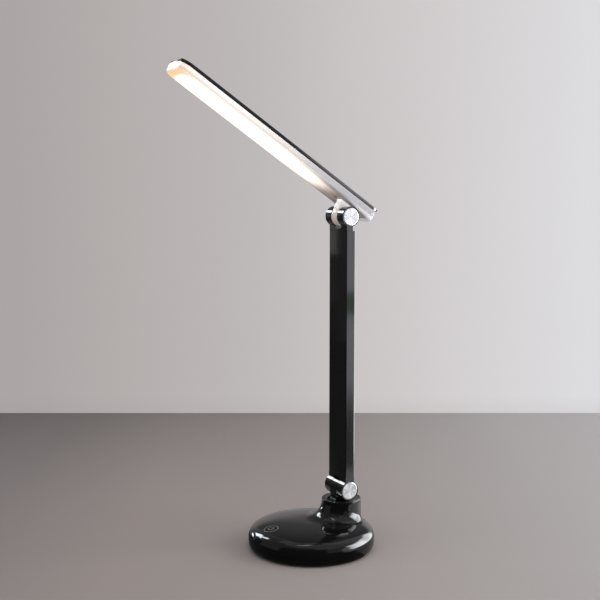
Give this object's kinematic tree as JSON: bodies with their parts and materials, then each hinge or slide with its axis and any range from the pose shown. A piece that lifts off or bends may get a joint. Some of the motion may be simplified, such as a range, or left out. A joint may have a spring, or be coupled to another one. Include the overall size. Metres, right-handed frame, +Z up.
{
  "type": "folding led desk lamp",
  "caption": "Folding desk lamp: weighted round base with a swivelling post, flat arm on two friction hinges, and a long slim head lit from below.",
  "frame": {"origin": "centre of the base's anti-slip pad, on the desk", "axes": "+Z up; -Y the front, where the touch mark is and towards which the head points at rest; hinge pins along X"},
  "size_m": [0.13, 0.2156, 0.4867],
  "materials": {
    "gloss_black": "black, high gloss",
    "satin_black": "black, satin",
    "milky_white": "translucent white, glows when the lamp is on",
    "diffuser": "opal sheet, lit from behind",
    "hinge_white": "off-white, semi-gloss",
    "pad": "matt, fine dimples",
    "ballast": "rough, zinc flash",
    "steel": "plain, zinc plated",
    "aluminium": "turned, radial brushing",
    "fibre": "hard friction fibre",
    "bearing": "natural, slippery",
    "board": "green solder mask",
    "led_board": "white coated metal-core board",
    "parts": "moulded black",
    "chips": "yellow phosphor",
    "reflector": "bright white film",
    "brass": "plain",
    "lead": "smooth sleeve"
  },
  "bodies": {
    "base": {"base_shell": "gloss_black", "base_tray": "satin_black", "anti_slip_pad": "pad", "ballast_plate": "ballast", "base_screws": "steel", "control_board": "board", "board_parts": "parts", "board_screws": "steel", "touch_spring": "brass", "inlet_housing": "satin_black", "inlet_pin": "brass", "inlet_lead": "lead", "lamp_lead": "lead", "swivel_bearing": "bearing"},
    "turret": {"swivel_post": "gloss_black", "swivel_washer": "steel", "swivel_nut": "steel"},
    "arm": {"arm_front_shell": "gloss_black", "arm_rear_cover": "gloss_black", "lower_fork": "gloss_black", "upper_fork": "gloss_black", "arm_screws": "steel", "arm_lead": "lead", "lower_hinge_bolt": "steel", "lower_hinge_nut": "steel", "lower_hinge_washers": "fibre", "lower_hinge_caps": "aluminium", "upper_hinge_bolt": "steel", "upper_hinge_nut": "steel", "upper_hinge_washers": "fibre", "upper_hinge_caps": "aluminium"},
    "head": {"head_frame": "milky_white", "head_cover": "gloss_black", "diffuser": "diffuser", "reflector": "reflector", "led_board": "led_board", "led_chips": "chips", "head_knuckle": "hinge_white", "knuckle_screws": "steel", "diffuser_screw": "steel", "head_lead": "lead"}
  },
  "joints": [
    {"name": "base_swivel", "type": "hinge", "parent": "base", "child": "turret", "pos_m": [0, 0.0355, 0.05], "axis": [0, 0, 1], "range_deg": [-90, 90]},
    {"name": "arm_fold", "type": "hinge", "parent": "turret", "child": "arm", "pos_m": [0, 0.0355, 0.0586], "axis": [1, 0, 0], "range_deg": [-30, 90]},
    {"name": "head_tilt", "type": "hinge", "parent": "arm", "child": "head", "pos_m": [0, 0.0355, 0.3406], "axis": [1, 0, 0], "range_deg": [-55, 125]}
  ]
}
